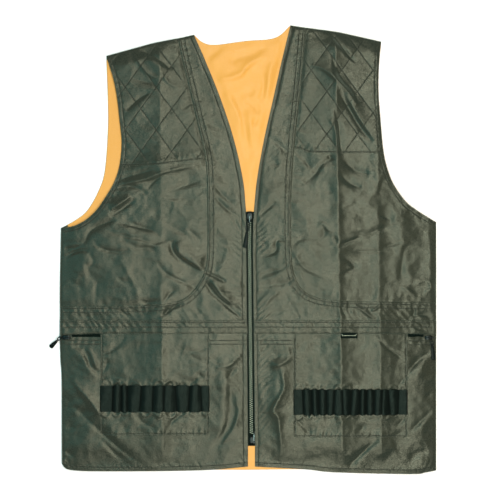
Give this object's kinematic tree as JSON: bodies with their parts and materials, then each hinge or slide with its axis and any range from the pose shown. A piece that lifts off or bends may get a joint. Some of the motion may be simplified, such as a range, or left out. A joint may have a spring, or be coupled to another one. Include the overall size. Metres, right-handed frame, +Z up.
{
  "type": "reversible hunting vest",
  "caption": "Reversible sleeveless hunting vest laid flat, olive nylon outside and orange inside, with V neck, full zip, quilted shoulders, pockets and cartridge loops.",
  "frame": {"origin": "the flat underside of the back where the vest rests, on the line of the zip at half the vest's length", "axes": "+Z up out of the surface that the vest lies on, +Y from the hem towards the shoulders, +X towards the wearer's left"},
  "size_m": [0.6183, 0.7172, 0.0165],
  "materials": {
    "olive_nylon": "shiny woven nylon",
    "orange_lining": "plain woven polyester",
    "black_webbing": "ribbed elastic webbing",
    "black_tape": "woven tape",
    "dark_metal": "dark lacquered metal",
    "dark_plastic": "satin plastic"
  },
  "bodies": {
    "vest": {"back_shell": "olive_nylon", "back_lining": "orange_lining", "front_side_right": "olive_nylon", "front_side_left": "olive_nylon", "front_centre_right": "olive_nylon", "front_centre_left": "olive_nylon", "front_lower_right": "olive_nylon", "front_lower_left": "olive_nylon", "shoulder_patch_right": "olive_nylon", "shoulder_patch_left": "olive_nylon", "placket_right": "olive_nylon", "placket_left": "olive_nylon", "pocket_right": "olive_nylon", "pocket_left": "olive_nylon", "cartridge_band_right": "black_webbing", "cartridge_band_left": "black_webbing", "pocket_zip_right": "black_tape", "pocket_zip_left": "black_tape", "zip_tape_right": "black_tape", "zip_tape_left": "black_tape", "label_tab": "black_tape", "zip_chain": "dark_metal", "zip_slider": "dark_metal", "zip_box": "dark_metal", "pocket_zip_slider_right": "dark_metal", "pocket_zip_slider_left": "dark_metal"},
    "front_pull": {"zip_link": "dark_metal", "zip_pull": "dark_plastic"},
    "pocket_pull_right": {"pocket_zip_right_link": "dark_metal", "pocket_zip_right_pull": "dark_plastic"},
    "pocket_pull_left": {"pocket_zip_left_link": "dark_metal", "pocket_zip_left_pull": "dark_plastic"}
  },
  "joints": [
    {"name": "front_pull_swing", "type": "hinge", "parent": "vest", "child": "front_pull", "pos_m": [-0.0006, 0.0444, 0.0086], "axis": [-0.9903, 0.1392, 0], "range_deg": [0, 140]},
    {"name": "pocket_pull_right_swing", "type": "hinge", "parent": "vest", "child": "pocket_pull_right", "pos_m": [-0.3003, -0.1399, 0.00971], "axis": [-0.6947, 0.7193, 0], "range_deg": [0, 150]},
    {"name": "pocket_pull_left_swing", "type": "hinge", "parent": "vest", "child": "pocket_pull_left", "pos_m": [0.2915, -0.1464, 0.0109], "axis": [-0.9945, -0.1045, 0], "range_deg": [0, 140]}
  ]
}
